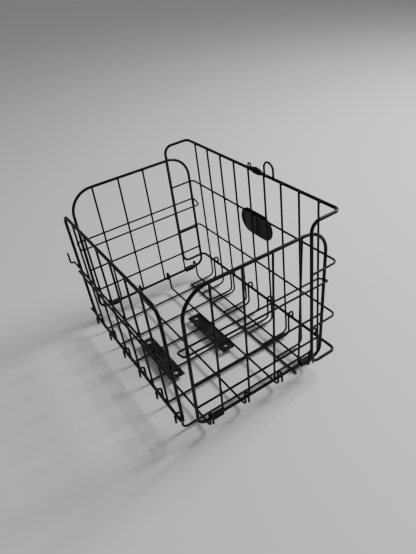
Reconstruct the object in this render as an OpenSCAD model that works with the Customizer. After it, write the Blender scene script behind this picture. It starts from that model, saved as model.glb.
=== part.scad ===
// Folding wire basket for a bicycle, in millimetres.
// X runs along the long walls, +Y is the front wall, Z is up from the ground.

/* [Basket] */
// Length of the front wall, between the wires of its two wings
basket_l = 358; // [358:1:366]
// Depth from the rear hinge rail to the front hinge rail
basket_w = 247.5; // [247.5:0.5:256]
// Height of the front rim above the ground
basket_h = 274; // [262:1:300]

/* [Wire] */
// Diameter of the rim wires
rim_d = 4.8; // [4.6:0.1:4.8]
// Diameter of the mesh wires
mesh_d = 3.3; // [3:0.1:3.4]
// Diameter of the floor wires
floor_d = 3.5; // [3:0.1:3.5]
// Depth that a weld lets two crossing wires sink into each other
weld = 0.1; // [0.05:0.05:0.15]

/* [Front wall] */
// Inward lean in degrees
front_lean = 1; // [0:0.1:1]
// Height of the hinge rail of the front wall
front_rail_z = 40; // [38:1:44]
// Height of the lower cross wire
front_cross_low = 108; // [95:1:120]
// Height of the upper cross wire
front_cross_high = 198; // [190:1:208]
// Spacing of the uprights
front_gap = 36.7; // [36:0.1:37]
// Depth of the wings at both ends
wing_w = 45.6; // [44:0.2:47]
// Length of the foot that lies under the floor
foot_w = 52; // [46:1:54]

/* [End panels] */
// Width of an end panel, between its legs
end_w = 216.6; // [214:0.2:216.6]
// Height of the top of an end panel
end_top_z = 253; // [246:1:256]
// Height of the hinge rail of an end panel
end_rail_z = 31; // [30:1:32]
// Distance of the hinge rail from the middle of the basket
end_hinge_x = 163.5; // [162:0.5:163.5]
// Outward lean in degrees
end_lean = 1.8; // [1.4:0.1:1.8]
// Spacing of the uprights
end_gap = 45.5; // [44:0.5:46]
// Radius of the top corners
end_corner_r = 38; // [30:1:42]
// Height of the lower cross wire
end_cross_low = 68; // [60:1:76]
// Height of the upper cross wire
end_cross_high = 111; // [100:1:120]

/* [Rear wall] */
// Width of the rear wall, between its legs
rear_w = 302; // [298:1:304]
// Outward lean in degrees
rear_lean = 1.2; // [0:0.1:1.4]
// Spacing of the uprights
rear_gap = 44.6; // [43.8:0.1:45]
// Height of the top of the rear wall
rear_top_z = 233; // [220:1:240]
// Height of its hinge rail
rear_rail_z = 31; // [30:1:32]
// Height of the wire that carries the two ring catches
latch_z = 140; // [130:1:146]
// How far the catches reach behind the rear wall
catch_reach = 12.5; // [12.5:0.5:14]

/* [Floor] */
// Spacing of the wires that run along the basket
long_gap = 60; // [59:0.5:60]
// Spacing of the wires that run across the basket
cross_gap = 54; // [53:0.5:54]

/* [Mount plates] */
// Length of a mount plate
plate_l = 110; // [106:1:120]
// Width of a mount plate
plate_w = 22; // [20:0.5:24]
// Thickness of a mount plate
plate_t = 2; // [1.5:0.5:2.5]
// Distance of a plate's middle from the middle of the basket
plate_x = -5; // [-10:1:10]
// Diameter of the bolt holes
hole_d = 7; // [6:0.5:8]
// Distance between the two holes of one plate
hole_gap = 90; // [84:1:94]

/* [Latch rings] */
// Height of the rings at rest
ring_z = 164; // [160:1:166]
// Length between the two end bars of a ring
ring_l = 228.2; // [228.1:0.1:228.3]
// Diameter of the ring's wire
ring_d = 3; // [2.8:0.1:3]
// Tilt of a ring in degrees, its outer long wire higher than its inner one
ring_tilt = 20; // [0:1:20]

/* [Badge and hook] */
// Width of the oval plate on the front wall
badge_w = 78; // [60:1:90]
// Height of the oval plate
badge_h = 43; // [30:1:50]
// Height of the wire loop above the front rim
loop_h = 20; // [14:1:26]

/* [Hidden] */
$fn = 32;

rim_r = rim_d / 2;
mesh_r = mesh_d / 2;
floor_r = floor_d / 2;
ring_r = ring_d / 2;

// Open hooks that hold a hinge rail
hook_gap = 0.3;
hook_r = rim_r + hook_gap + floor_r;
hook_lift = 5;
hook_tail = 7;
floor_bend = 8;

// Layers of the floor, from the ground up
play = 0.4;
foot_rail_z = mesh_r;
foot_z = foot_rail_z + mesh_d - weld;
cross_z = foot_rail_z + mesh_r + play + floor_r;
long_z = cross_z + floor_d - weld;
plate_z = cross_z + floor_r - weld;

// The catches stand out behind the rear wall, so the middle of the basket lies
// forward of the origin, which is the middle of the whole
front_reach = rim_r + hook_gap + 2 * floor_r;
rear_reach = catch_reach + mesh_r;
mid_y = (rear_reach - front_reach) / 2;
front_y = mid_y + basket_w / 2;
rear_y = mid_y - basket_w / 2;
panel_y = mid_y;
long_y = mid_y + 1.5;

// Offset of wires that cross on the side of a rim wire
beside_rim = rim_r + mesh_r - weld;
beside_mesh = mesh_d - weld;
// Where a mesh wire stops when it is butted against a rim wire
butt = rim_r - 0.45;

// Bends of the rims
rim_bend = 8;
wing_bend = 13;
rear_bend = 15;
foot_bend = 9;
end_foot_bend = 14;

front_n = 9;
end_n = 4;
rear_n = 6;
rear_cross_low = 16;
latch_pair_gap = 13;
long_n = 4;
cross_n = 6;

// Offsets of the mesh from the middle of the rims
front_up_y = -beside_rim;
front_cross_y = front_up_y + beside_mesh;
// The feet lean with the wall and come down to the foot rail at their ends
foot_end_y = front_up_y - foot_w + mesh_d;
foot_drop = front_rail_z - foot_z;
foot_lean_z = -snap((foot_drop + foot_end_y * sin(front_lean)) / cos(front_lean));
foot_rail_y = front_y + foot_end_y * cos(front_lean) - foot_lean_z * sin(front_lean);
rear_cross_y = -beside_rim;
rear_up_y = rear_cross_y + beside_mesh;
end_off = beside_mesh / 2;

// Latch rings, measured from the plane of their end panel
ring_bend = 4;
ring_out = 4.4;
ring_in = 14;
ring_mid_y = -1.6;

// Catches at both ends of the latch wire
catch_x = 166;
catch_h = 20;
catch_bend = 2.5;

// Heights of the two walls above their hinge rails
wing_x = basket_l / 2;
front_h = basket_h - front_rail_z;
rear_h = rear_top_z - rear_rail_z;

sleeve_r = 5;
sleeve_gap = 0.45;
sleeve_bite = 0.02;
sleeve_l = 15.8;

badge_x = 4;
badge_t = 1.6;
badge_z = 181;
loop_x = 43.5;
loop_w = 20;
rim_sleeve_x = 15;
rim_sleeve_l = 26;
rim_sleeve_r = 5;

black = [0.06, 0.06, 0.065];
dark = [0.10, 0.10, 0.105];
rubber = [0.03, 0.03, 0.03];

function spread(n, gap) = [for (i = [0 : n - 1]) (i - (n - 1) / 2) * gap];
// Rounds a length to 0.01 mm, so that the pieces of one wire meet exactly
function snap(v) = round(v * 100) / 100;
function unit(v) = v / norm(v);
function at(list, i) = list[(i + len(list)) % len(list)];
// Length of straight wire that the bend at point i uses up on each side
function bend_cut(p, r, i) =
    let (u = unit(at(p, i) - at(p, i - 1)), v = unit(at(p, i + 1) - at(p, i)))
    r * tan(acos(u * v) / 2);

// A straight round wire from point a to point b
module rod(a, b, r) {
    d = b - a;
    translate(a)
        rotate([0, acos(d.z / norm(d)), atan2(d.y, d.x)])
            cylinder(h = norm(d), r = r);
}

// One bend of a wire at point b, on its way from a to c
module bend(a, b, c, bend_r, r) {
    u = unit(b - a);
    v = unit(c - b);
    turn = acos(u * v);
    start = b - u * bend_r * tan(turn / 2);
    side = unit(v - u * (u * v));
    out = -side;
    up = cross(out, u);
    translate(start + side * bend_r)
        multmatrix([
            [out.x, u.x, up.x, 0],
            [out.y, u.y, up.y, 0],
            [out.z, u.z, up.z, 0],
            [0, 0, 0, 1]
        ])
            rotate_extrude(angle = turn, $fn = 64)
                translate([bend_r, 0])
                    circle(r = r, $fn = 32);
}

// A wire that follows points p with a bend of radius bends[i] at each inner point
module open_wire(p, bends, r) {
    last = len(p) - 1;
    for (i = [0 : last - 1]) {
        u = unit(p[i + 1] - p[i]);
        from = i == 0 ? 0 : bend_cut(p, bends[i], i);
        to = i == last - 1 ? 0 : bend_cut(p, bends[i + 1], i + 1);
        rod(p[i] + u * from, p[i + 1] - u * to, r);
    }
    for (i = [1 : last - 1])
        bend(p[i - 1], p[i], p[i + 1], bends[i], r);
}

// The same for a wire that closes on itself
module closed_wire(p, bends, r) {
    for (i = [0 : len(p) - 1]) {
        u = unit(at(p, i + 1) - p[i]);
        from = bend_cut(p, bends[i], i);
        to = bend_cut(p, at(bends, i + 1), i + 1);
        rod(p[i] + u * from, at(p, i + 1) - u * to, r);
        bend(at(p, i - 1), p[i], at(p, i + 1), bends[i], r);
    }
}

// Half of a floor wire, from the middle out to the hook over a hinge rail.
// It runs along +X at height z; the rail is at distance rail_x and height rail_z.
module floor_wire_half(z, rail_x, rail_z) {
    top = rail_z + hook_lift;
    in_x = rail_x - hook_r;
    out_x = rail_x + hook_r;
    rod([0, 0, z], [in_x - floor_bend, 0, z], floor_r);
    bend([0, 0, z], [in_x, 0, z], [in_x, 0, top], floor_bend, floor_r);
    rod([in_x, 0, z + floor_bend], [in_x, 0, top], floor_r);
    translate([rail_x, 0, top])
        rotate([90, 0, 0])
            rotate_extrude(angle = 180, $fn = 64)
                translate([hook_r, 0])
                    circle(r = floor_r, $fn = 32);
    rod([out_x, 0, top], [out_x, 0, rail_z - hook_tail], floor_r);
}

module floor_long_wires() {
    color(black)
        for (y = spread(long_n, long_gap))
            translate([0, y + long_y, 0]) {
                floor_wire_half(long_z, end_hinge_x, end_rail_z);
                mirror([1, 0, 0])
                    floor_wire_half(long_z, end_hinge_x, end_rail_z);
            }
}

module floor_cross_wires() {
    color(black)
        for (x = spread(cross_n, cross_gap))
            translate([x, mid_y, 0]) {
                rotate([0, 0, 90])
                    floor_wire_half(cross_z, basket_w / 2, front_rail_z);
                rotate([0, 0, -90])
                    floor_wire_half(cross_z, basket_w / 2, rear_rail_z);
            }
}

// A flat strip with two bolt holes, welded against the long wire at wire_y
module mount_plate(wire_y, side) {
    y = wire_y + side * (floor_r + plate_w / 2 - weld);
    color(dark)
        translate([plate_x, y, plate_z])
            difference() {
                translate([-plate_l / 2, -plate_w / 2, 0])
                    cube([plate_l, plate_w, plate_t]);
                for (x = [-hole_gap / 2, hole_gap / 2])
                    translate([x, 0, -1])
                        cylinder(h = plate_t + 2, d = hole_d, $fn = 48);
            }
}

module mount_plate_front() {
    mount_plate(long_gap / 2 + long_y, -1);
}

module mount_plate_rear() {
    mount_plate(-long_gap * 1.5 + long_y, 1);
}

// Places the front wall: y is 0 in the plane of its rim, z is 0 on its hinge rail
module at_front() {
    translate([0, front_y, front_rail_z])
        rotate([front_lean, 0, 0])
            children();
}

module front_rim() {
    x = wing_x;
    p = [
        [-x, 0, front_h], [x, 0, front_h], [x, -wing_w, front_h], [x, -wing_w, 0],
        [x, 0, 0], [-x, 0, 0], [-x, -wing_w, 0], [-x, -wing_w, front_h]
    ];
    bends = [rim_bend, rim_bend, wing_bend, wing_bend, rim_bend, rim_bend, wing_bend, wing_bend];
    color(black)
        at_front()
            closed_wire(p, bends, rim_r);
}

// Each upright turns inward under the floor and ends on the foot rail
module front_uprights() {
    color(black)
        at_front()
            for (x = spread(front_n, front_gap))
                open_wire(
                    [
                        [x, front_up_y, front_h + mesh_r], [x, front_up_y, foot_lean_z],
                        [x, front_up_y - foot_w, foot_lean_z]
                    ],
                    [0, foot_bend, 0], mesh_r);
}

module front_cross_wires() {
    x = wing_x;
    y = front_cross_y;
    back_y = -wing_w + butt;
    color(black)
        at_front()
            for (z = [front_cross_low - front_rail_z, front_cross_high - front_rail_z])
                open_wire(
                    [[-x, back_y, z], [-x, y, z], [x, y, z], [x, back_y, z]],
                    [0, rim_bend, rim_bend, 0], mesh_r);
}

module front_foot_rail() {
    reach = (front_n - 1) / 2 * front_gap + 2 * mesh_d;
    y = foot_rail_y;
    color(black)
        rod([-reach, y, foot_rail_z], [reach, y, foot_rail_z], mesh_r);
}

// A blank oval plate on the outside of the front wall
module badge_plate() {
    r = badge_h / 2;
    half = (badge_w - badge_h) / 2;
    y = front_cross_y + mesh_r - weld;
    color(dark)
        at_front()
            translate([badge_x, y + badge_t, badge_z - front_rail_z])
                rotate([90, 0, 0])
                    linear_extrude(height = badge_t)
                        union() {
                            translate([-half, 0])
                                circle(r = r, $fn = 64);
                            translate([half, 0])
                                circle(r = r, $fn = 64);
                            translate([-half, -r])
                                square([2 * half, badge_h]);
                        }
}

// A wire eye that stands on the front rim
module rim_loop() {
    r = loop_w / 2;
    color(black)
        at_front()
            translate([loop_x, 0, front_h + butt]) {
                rod([-r, 0, 0], [-r, 0, loop_h - r], mesh_r);
                rod([r, 0, 0], [r, 0, loop_h - r], mesh_r);
                translate([0, 0, loop_h - r])
                    rotate([90, 0, 0])
                        rotate_extrude(angle = 180, $fn = 64)
                            translate([r, 0])
                                circle(r = mesh_r, $fn = 32);
            }
}

// A tube pressed on a rim wire, along +X
module sleeve(length, r) {
    rotate([0, 90, 0])
        difference() {
            cylinder(h = length, r = r, center = true, $fn = 48);
            cylinder(h = length + 2, r = rim_r - sleeve_bite, center = true, $fn = 48);
        }
}

module rim_sleeve() {
    color(rubber)
        at_front()
            translate([rim_sleeve_x, 0, front_h])
                sleeve(rim_sleeve_l, rim_sleeve_r);
}

// Places the rear wall in the same way as the front wall
module at_rear() {
    translate([0, rear_y, rear_rail_z])
        rotate([rear_lean, 0, 0])
            children();
}

module rear_rim() {
    x = rear_w / 2;
    color(black)
        at_rear()
            closed_wire(
                [[-x, 0, rear_h], [x, 0, rear_h], [x, 0, 0], [-x, 0, 0]],
                [rear_bend, rear_bend, rear_bend, rear_bend], rim_r);
}

module rear_uprights() {
    color(black)
        at_rear()
            for (x = spread(rear_n, rear_gap))
                rod([x, rear_up_y, butt], [x, rear_up_y, rear_h - butt], mesh_r);
}

// These lie across the outside of the legs
module rear_cross_wires() {
    x = rear_w / 2 + mesh_d;
    color(black)
        at_rear()
            for (z = [rear_cross_low, latch_z - rear_rail_z - latch_pair_gap])
                rod([-x, rear_cross_y, z], [x, rear_cross_y, z], mesh_r);
}

// The long wire runs past both legs, and its ends turn back and up into open catches
module rear_latch_wire() {
    x = catch_x;
    z = latch_z - rear_rail_z;
    y = mesh_r - snap((rear_reach - (z + catch_h) * sin(rear_lean)) / cos(rear_lean));
    color(black)
        at_rear()
            open_wire(
                [
                    [-x, y, z + catch_h], [-x, y, z], [-x, rear_cross_y, z],
                    [x, rear_cross_y, z], [x, y, z], [x, y, z + catch_h]
                ],
                [0, catch_bend, catch_bend, catch_bend, catch_bend, 0], mesh_r);
}

// Places a right-hand end part: x is 0 on the hinge rail, z is 0 at its height,
// and the panel leans outward. side is 1 on the right and -1 on the left.
module at_end(side) {
    mirror([side < 0 ? 1 : 0, 0, 0])
        translate([end_hinge_x, panel_y, end_rail_z])
            rotate([0, end_lean, 0])
                children();
}

module end_rim(side) {
    half = end_w / 2;
    top = end_top_z - end_rail_z;
    color(black)
        at_end(side)
            closed_wire(
                [[0, -half, top], [0, half, top], [0, half, 0], [0, -half, 0]],
                [end_corner_r, end_corner_r, end_foot_bend, end_foot_bend], rim_r);
}

module end_uprights(side) {
    color(black)
        at_end(side)
            for (y = spread(end_n, end_gap))
                rod([-end_off, y, butt], [-end_off, y, end_top_z - end_rail_z - butt], mesh_r);
}

module end_cross_wires(side) {
    half = end_w / 2 - butt;
    color(black)
        at_end(side)
            for (z = [end_cross_low - end_rail_z, end_cross_high - end_rail_z])
                rod([end_off, -half, z], [end_off, half, z], mesh_r);
}

// Sleeves between the outer uprights and the outer floor hooks
module hinge_sleeves(side) {
    mid = 1.5 * end_gap + mesh_r + sleeve_gap + sleeve_l / 2;
    color(rubber)
        at_end(side)
            for (y = [-mid, mid])
                translate([0, y, 0])
                    rotate([0, 0, 90])
                        sleeve(sleeve_l, sleeve_r);
}

// A closed ring that goes round the whole end panel and slides on its legs
module latch_ring(side) {
    half_w = snap((ring_in + ring_out) / cos(ring_tilt) / 2);
    half_l = ring_l / 2;
    color(black)
        at_end(side)
            translate([(ring_out - ring_in) / 2, ring_mid_y, ring_z - end_rail_z])
                rotate([0, -ring_tilt, 0])
                    closed_wire(
                        [
                            [-half_w, -half_l, 0], [half_w, -half_l, 0],
                            [half_w, half_l, 0], [-half_w, half_l, 0]
                        ],
                        [ring_bend, ring_bend, ring_bend, ring_bend], ring_r);
}

module left_end_rim() { end_rim(-1); }
module left_end_uprights() { end_uprights(-1); }
module left_end_cross_wires() { end_cross_wires(-1); }
module left_hinge_sleeves() { hinge_sleeves(-1); }
module left_latch_ring() { latch_ring(-1); }
module right_end_rim() { end_rim(1); }
module right_end_uprights() { end_uprights(1); }
module right_end_cross_wires() { end_cross_wires(1); }
module right_hinge_sleeves() { hinge_sleeves(1); }
module right_latch_ring() { latch_ring(1); }

floor_long_wires();
floor_cross_wires();
mount_plate_front();
mount_plate_rear();
front_rim();
front_uprights();
front_cross_wires();
front_foot_rail();
badge_plate();
rim_loop();
rim_sleeve();
rear_rim();
rear_uprights();
rear_cross_wires();
rear_latch_wire();
left_end_rim();
left_end_uprights();
left_end_cross_wires();
left_hinge_sleeves();
left_latch_ring();
right_end_rim();
right_end_uprights();
right_end_cross_wires();
right_hinge_sleeves();
right_latch_ring();
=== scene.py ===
"""Folding wire basket: materials, weld beads, end caps, floor, light and camera."""

import math
import random

import bmesh
import bpy
from mathutils import Matrix, Vector


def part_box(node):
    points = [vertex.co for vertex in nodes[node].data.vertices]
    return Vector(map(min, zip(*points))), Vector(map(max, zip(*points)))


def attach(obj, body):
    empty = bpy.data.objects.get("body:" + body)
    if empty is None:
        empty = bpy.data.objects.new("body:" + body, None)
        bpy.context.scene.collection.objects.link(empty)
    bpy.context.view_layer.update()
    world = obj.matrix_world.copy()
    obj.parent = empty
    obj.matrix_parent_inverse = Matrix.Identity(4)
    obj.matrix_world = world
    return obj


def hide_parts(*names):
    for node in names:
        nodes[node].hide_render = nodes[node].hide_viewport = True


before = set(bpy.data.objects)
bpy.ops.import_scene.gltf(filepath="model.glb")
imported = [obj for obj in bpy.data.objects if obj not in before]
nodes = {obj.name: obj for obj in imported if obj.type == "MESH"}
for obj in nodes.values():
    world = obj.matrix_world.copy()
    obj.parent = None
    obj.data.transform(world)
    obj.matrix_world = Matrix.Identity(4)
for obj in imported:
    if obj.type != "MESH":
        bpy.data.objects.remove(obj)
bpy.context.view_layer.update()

# ---------------------------------------------------------------- driving sizes
MM = 0.001
RIM_R = 2.4 * MM
MESH_R = 1.65 * MM
FLOOR_R = 1.75 * MM
WELD = 0.1 * MM
BESIDE_RIM = RIM_R + MESH_R - WELD
BESIDE_MESH = 2 * MESH_R - WELD

# Hinge rails: distance from the middle and height, then the lean of each wall
MID_Y = 3.975 * MM
HALF_DEPTH = 123.75 * MM
END_RAIL_X = 163.5 * MM
FRONT_RAIL_Z = 40 * MM
LOW_RAIL_Z = 31 * MM
FRONT_LEAN = math.radians(1.0)
REAR_LEAN = math.radians(1.2)
END_LEAN = math.radians(1.8)

# Heights above the hinge rails
FRONT_TOP = 234 * MM
FRONT_LEVELS = (68 * MM, 158 * MM)
REAR_TOP = 202 * MM
REAR_LEVELS = (16 * MM, 96 * MM, 109 * MM)
REAR_HALF = 151 * MM
END_TOP = 222 * MM
END_LEVELS = (37 * MM, 80 * MM)
END_HALF = 108.3 * MM

FRONT_UPRIGHTS, FRONT_GAP = 9, 36.7 * MM
REAR_UPRIGHTS, REAR_GAP = 6, 44.6 * MM
END_UPRIGHTS, END_GAP = 4, 45.5 * MM
LONG_WIRES = 4
CROSS_WIRES = 6
HOOK_REACH = RIM_R + 0.3 * MM + FLOOR_R
HOOK_TAIL = 7 * MM

# Clamp on the front rim: how far the lug stands above and beside the rim wire
LUG_STEPS, LUG_SIDES = 28, 24
LUG_TALL = 3.4 * MM
LUG_WIDE = 1.2 * MM
LUG_LIFT = 1.0 * MM
EYELET_STEPS, EYELET_SIDES = 28, 14
EYELET_R = 3.4 * MM
EYELET_WIRE_R = 1.3 * MM
EYELET_OFF = 3.0 * MM

CAMERA_AT = Vector((0.5612, -0.2837, 0.5741))
CAMERA_AIM = Vector((0.0, 0.0298, 0.1226))
CAMERA_ROLL = math.radians(-7.43)
CAMERA_LENS = 32.53


# ---------------------------------------------------------------- materials
def shader(name, base, rough, bump_size, bump_depth, dust, wear, sheen):
    """Black coating: mottled colour, orange peel, dust on top faces and rubbed spots."""
    mat = bpy.data.materials.new(name)
    mat.use_nodes = True
    tree = mat.node_tree
    link = tree.links.new
    bsdf = tree.nodes["Principled BSDF"]
    bsdf.inputs["Metallic"].default_value = 0.0
    bsdf.inputs["Specular IOR Level"].default_value = 0.12
    bsdf.inputs["Coat Weight"].default_value = sheen
    bsdf.inputs["Coat Roughness"].default_value = 0.32

    def node(kind, **values):
        made = tree.nodes.new(kind)
        for key, value in values.items():
            made.inputs[key].default_value = value
        return made

    def noise(scale, detail):
        made = node("ShaderNodeTexNoise", Scale=scale, Detail=detail)
        link(coords.outputs["Object"], made.inputs["Vector"])
        return made.outputs["Fac"]

    def ramp(value, low, high, to_low, to_high):
        made = tree.nodes.new("ShaderNodeMapRange")
        made.inputs["From Min"].default_value = low
        made.inputs["From Max"].default_value = high
        made.inputs["To Min"].default_value = to_low
        made.inputs["To Max"].default_value = to_high
        link(value, made.inputs["Value"])
        return made.outputs["Result"]

    def mix(amount, a, b):
        made = tree.nodes.new("ShaderNodeMix")
        made.data_type = "RGBA"
        link(amount, made.inputs["Factor"])
        for socket, value in ((made.inputs["A"], a), (made.inputs["B"], b)):
            if isinstance(value, tuple):
                socket.default_value = (*value, 1.0)
            else:
                link(value, socket)
        return made.outputs["Result"]

    def times(a, b):
        made = tree.nodes.new("ShaderNodeMath")
        made.operation = "MULTIPLY"
        link(a, made.inputs[0])
        if isinstance(b, float):
            made.inputs[1].default_value = b
        else:
            link(b, made.inputs[1])
        return made.outputs["Value"]

    coords = tree.nodes.new("ShaderNodeTexCoord")
    shape = tree.nodes.new("ShaderNodeNewGeometry")
    mottled = mix(noise(90.0, 4.0), base, tuple(c * 1.8 + 0.0008 for c in base))

    # Dust settles where the surface looks up
    split = tree.nodes.new("ShaderNodeSeparateXYZ")
    link(shape.outputs["Normal"], split.inputs["Vector"])
    facing_up = ramp(split.outputs["Z"], 0.35, 1.0, 0.0, 1.0)
    dust_patches = ramp(noise(45.0, 6.0), 0.42, 0.72, 0.0, dust)
    dusty = mix(times(facing_up, dust_patches), mottled, (0.11, 0.105, 0.097))

    # Small rubbed spots show a greyer undercoat
    rubbed = ramp(noise(260.0, 3.0), 0.68, 0.78, 0.0, wear)
    final = mix(rubbed, dusty, (0.034, 0.033, 0.032))
    link(final, bsdf.inputs["Base Color"])
    link(ramp(noise(130.0, 3.0), 0.3, 0.7, rough - 0.08, rough + 0.10), bsdf.inputs["Roughness"])

    peel = node("ShaderNodeBump", Strength=0.55, Distance=bump_depth)
    link(noise(bump_size, 3.0), peel.inputs["Height"])
    link(peel.outputs["Normal"], bsdf.inputs["Normal"])
    return mat


wire_mat = shader(
    "coated_wire", base=(0.0018, 0.0018, 0.0020), rough=0.34,
    bump_size=900.0, bump_depth=0.00012, dust=0.07, wear=0.30, sheen=0.05)
plate_mat = shader(
    "coated_plate", base=(0.0022, 0.0022, 0.0024), rough=0.48,
    bump_size=700.0, bump_depth=0.00016, dust=0.14, wear=0.35, sheen=0.04)
badge_mat = shader(
    "badge_face", base=(0.0016, 0.0016, 0.0018), rough=0.30,
    bump_size=500.0, bump_depth=0.00008, dust=0.04, wear=0.15, sheen=0.12)
sleeve_mat = shader(
    "moulded_sleeve", base=(0.0026, 0.0026, 0.0027), rough=0.56,
    bump_size=1200.0, bump_depth=0.00020, dust=0.15, wear=0.20, sheen=0.0)


def paint(obj, mat):
    if not obj.data.materials:
        obj.data.materials.append(mat)
    for i in range(len(obj.data.materials)):
        obj.data.materials[i] = mat


for name, obj in nodes.items():
    if "sleeve" in name:
        paint(obj, sleeve_mat)
    elif name == "badge_plate":
        paint(obj, badge_mat)
    elif "plate" in name:
        paint(obj, plate_mat)
    else:
        paint(obj, wire_mat)


# ---------------------------------------------------------------- places read from the frame
def low(node):
    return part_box(node)[0]


def high(node):
    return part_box(node)[1]


def spread(count, gap):
    return [(i - (count - 1) / 2) * gap for i in range(count)]


def row(node, axis, radius, count):
    """Centre lines of equally spaced wires, from the outer faces of the node's box."""
    first = low(node)[axis] + radius
    last = high(node)[axis] - radius
    return [first + (last - first) * i / (count - 1) for i in range(count)]


def wall(y, rail_z, lean):
    """The frame of a long wall: origin on its hinge rail, Z up along the wall."""
    return Matrix.Translation((0, y, rail_z)) @ Matrix.Rotation(lean, 4, "X")


def end_wall(side):
    place = Matrix.Translation((END_RAIL_X, MID_Y, LOW_RAIL_Z))
    return Matrix.Diagonal((side, 1, 1, 1)) @ place @ Matrix.Rotation(END_LEAN, 4, "Y")


FRONT = wall(MID_Y + HALF_DEPTH, FRONT_RAIL_Z, FRONT_LEAN)
REAR = wall(MID_Y - HALF_DEPTH, LOW_RAIL_Z, REAR_LEAN)


def new_piece(name, body, mat, build):
    mesh = bpy.data.meshes.new(name)
    bm = bmesh.new()
    build(bm)
    bmesh.ops.recalc_face_normals(bm, faces=bm.faces)
    bm.to_mesh(mesh)
    bm.free()
    for face in mesh.polygons:
        face.use_smooth = True
    obj = bpy.data.objects.new(name, mesh)
    bpy.context.scene.collection.objects.link(obj)
    mesh.materials.append(mat)
    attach(obj, body)
    return obj


def blob(bm, centre, radii, turn=Matrix.Identity(4)):
    place = Matrix.Translation(centre) @ turn @ Matrix.Diagonal((*radii, 1.0))
    bmesh.ops.create_icosphere(bm, subdivisions=2, radius=1.0, matrix=place)


def weld_beads(name, body, spots, frame_matrix=Matrix.Identity(4)):
    """One small, slightly irregular blob of weld at each crossing of two wires."""
    rng = random.Random(name)

    def build(bm):
        for spot, size in spots:
            grow = [size * rng.uniform(0.88, 1.12) for _ in range(3)]
            blob(bm, frame_matrix @ Vector(spot), grow)

    return new_piece(name, body, wire_mat, build)


# ---------------------------------------------------------------- weld beads
bead = MESH_R * 1.14
rim_bead = MESH_R * 1.25
touch = -BESIDE_RIM + MESH_R

spots = []
for x in spread(FRONT_UPRIGHTS, FRONT_GAP):
    for z in (0, FRONT_TOP):
        spots.append(((x, touch, z), rim_bead))
    for z in FRONT_LEVELS:
        spots.append(((x, touch, z), bead))
weld_beads("front_weld_beads", "base", spots, FRONT)

foot_y = (low("front_foot_rail")[1] + high("front_foot_rail")[1]) / 2
foot_z = high("front_foot_rail")[2]
weld_beads("foot_weld_beads", "base",
           [((x, foot_y, foot_z), bead) for x in spread(FRONT_UPRIGHTS, FRONT_GAP)])

long_y = row("floor_long_wires", 1, FLOOR_R, LONG_WIRES)
cross_x = row("floor_cross_wires", 0, FLOOR_R, CROSS_WIRES)
floor_z = low("floor_cross_wires")[2] + 2 * FLOOR_R
weld_beads("floor_weld_beads", "base",
           [((x, y, floor_z), FLOOR_R * 1.12) for x in cross_x for y in long_y])

spots = []
for x in spread(REAR_UPRIGHTS, REAR_GAP):
    for z in (RIM_R, REAR_TOP - RIM_R):
        spots.append(((x, -BESIDE_RIM + BESIDE_MESH, z), rim_bead))
    for z in REAR_LEVELS:
        spots.append(((x, touch, z), bead))
for x in (-REAR_HALF, REAR_HALF):
    for z in REAR_LEVELS:
        spots.append(((x, touch, z), rim_bead))
weld_beads("rear_weld_beads", "rear_wall", spots, REAR)

for side, word in ((-1, "left"), (1, "right")):
    spots = []
    for y in spread(END_UPRIGHTS, END_GAP):
        for z in END_LEVELS:
            spots.append(((0, y, z), bead))
        for z in (RIM_R, END_TOP - RIM_R):
            spots.append(((-BESIDE_MESH / 2, y, z), rim_bead))
    for y in (-END_HALF + RIM_R, END_HALF - RIM_R):
        for z in END_LEVELS:
            spots.append(((BESIDE_MESH / 2, y, z), bead))
    weld_beads(f"{word}_weld_beads", f"{word}_end", spots, end_wall(side))


# ---------------------------------------------------------------- rounded wire ends
def hook_tips(name, ends):
    """Coated ends of cut wire, each a dome."""
    def build(bm):
        for x, y, z in ends:
            blob(bm, Vector((x, y, z)), (FLOOR_R * 0.98, FLOOR_R * 0.98, FLOOR_R * 0.8))
    return new_piece(name, "base", wire_mat, build)


side_x = END_RAIL_X + HOOK_REACH
hook_tips("long_wire_tips",
          [(s * side_x, y, LOW_RAIL_Z - HOOK_TAIL) for s in (-1, 1) for y in long_y])
front_tip_y = MID_Y + HALF_DEPTH + HOOK_REACH
rear_tip_y = MID_Y - HALF_DEPTH - HOOK_REACH
hook_tips("cross_wire_tips",
          [(x, front_tip_y, FRONT_RAIL_Z - HOOK_TAIL) for x in cross_x]
          + [(x, rear_tip_y, LOW_RAIL_Z - HOOK_TAIL) for x in cross_x])


# ---------------------------------------------------------------- clamp on the front rim
def clamp(bm):
    """A tapered lug pinched round the rim."""
    start = low("rim_sleeve")[0]
    end = high("rim_sleeve")[0]
    rings = []
    for i in range(LUG_STEPS + 1):
        t = i / LUG_STEPS
        swell = math.sin(math.pi * t) ** 0.7
        tall = RIM_R * 1.01 + LUG_TALL * swell
        wide = RIM_R * 1.01 + LUG_WIDE * swell
        lift = LUG_LIFT * swell
        ring = []
        for k in range(LUG_SIDES):
            a = 2 * math.pi * k / LUG_SIDES
            spot = (start + (end - start) * t, wide * math.cos(a),
                    FRONT_TOP + lift + tall * math.sin(a))
            ring.append(bm.verts.new(FRONT @ Vector(spot)))
        rings.append(ring)
    for a, b in zip(rings, rings[1:]):
        for k in range(LUG_SIDES):
            after = (k + 1) % LUG_SIDES
            bm.faces.new((a[k], a[after], b[after], b[k]))
    bm.faces.new(rings[0][::-1])
    bm.faces.new(rings[-1])


lug = new_piece("rim_clamp_lug", "base", sleeve_mat, clamp)
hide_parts("rim_sleeve")


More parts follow.
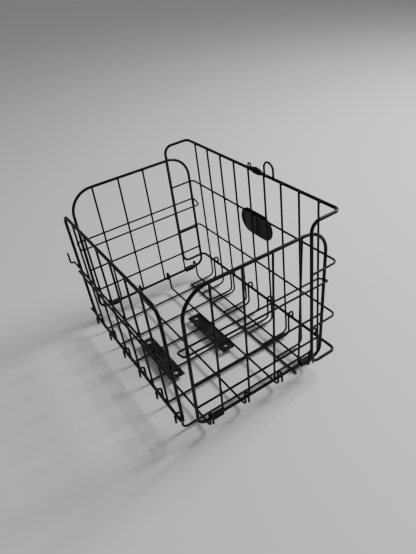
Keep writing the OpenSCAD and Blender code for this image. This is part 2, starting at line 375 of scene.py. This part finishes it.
def eyelet(bm):
    """A small closed eye of wire that stands on the rim beside the lug."""
    middle_x = low("rim_sleeve")[0] - EYELET_OFF
    centre = Vector((middle_x, 0, FRONT_TOP + RIM_R + EYELET_R - 0.6 * MM))
    rings = []
    for i in range(EYELET_STEPS):
        a = 2 * math.pi * i / EYELET_STEPS
        out = Vector((math.cos(a), 0, math.sin(a)))
        ring = []
        for k in range(EYELET_SIDES):
            b = 2 * math.pi * k / EYELET_SIDES
            across = Vector((0, EYELET_WIRE_R * math.sin(b), 0))
            spot = centre + out * (EYELET_R + EYELET_WIRE_R * math.cos(b)) + across
            ring.append(bm.verts.new(FRONT @ spot))
        rings.append(ring)
    for i in range(EYELET_STEPS):
        a, b = rings[i], rings[(i + 1) % EYELET_STEPS]
        for k in range(EYELET_SIDES):
            after = (k + 1) % EYELET_SIDES
            bm.faces.new((a[k], a[after], b[after], b[k]))


new_piece("rim_clamp_eyelet", "base", wire_mat, eyelet)

# ---------------------------------------------------------------- floor
floor_mesh = bpy.data.meshes.new("floor")
bm = bmesh.new()
bmesh.ops.create_grid(bm, x_segments=2, y_segments=2, size=40.0)
bm.to_mesh(floor_mesh)
bm.free()
floor = bpy.data.objects.new("floor", floor_mesh)
floor.location.z = -0.0005
bpy.context.scene.collection.objects.link(floor)
floor_mat = bpy.data.materials.new("pale_floor")
floor_mat.use_nodes = True
floor_bsdf = floor_mat.node_tree.nodes["Principled BSDF"]
floor_bsdf.inputs["Base Color"].default_value = (0.56, 0.555, 0.535, 1.0)
floor_bsdf.inputs["Roughness"].default_value = 0.75
floor_mesh.materials.append(floor_mat)


# ---------------------------------------------------------------- light
def area(name, place, aim, size, power, colour):
    data = bpy.data.lights.new(name, "AREA")
    data.energy = power
    data.size = size
    data.color = colour
    obj = bpy.data.objects.new(name, data)
    obj.location = place
    obj.rotation_euler = (Vector(aim) - Vector(place)).to_track_quat("-Z", "Y").to_euler()
    bpy.context.scene.collection.objects.link(obj)


area("window", (0.2, 1.6, 1.5), (0, 0, 0.1), 0.7, 66.0, (1.0, 0.99, 0.97))
area("fill", (1.4, -1.4, 1.6), (0, 0, 0.1), 1.6, 7.0, (0.97, 0.98, 1.0))
world = bpy.data.worlds.new("room")
world.use_nodes = True
world.node_tree.nodes["Background"].inputs["Color"].default_value = (0.92, 0.93, 0.95, 1.0)
world.node_tree.nodes["Background"].inputs["Strength"].default_value = 0.36
bpy.context.scene.world = world

# ---------------------------------------------------------------- camera
camera_data = bpy.data.cameras.new("camera")
camera_data.lens = CAMERA_LENS
camera_data.sensor_width = 36.0
camera_data.sensor_fit = "AUTO"
camera_data.clip_start = 0.02
camera = bpy.data.objects.new("camera", camera_data)
look = (CAMERA_AIM - CAMERA_AT).to_track_quat("-Z", "Y").to_matrix().to_4x4()
camera.matrix_world = Matrix.Translation(CAMERA_AT) @ look @ Matrix.Rotation(CAMERA_ROLL, 4, "Z")
bpy.context.scene.collection.objects.link(camera)
bpy.context.scene.camera = camera
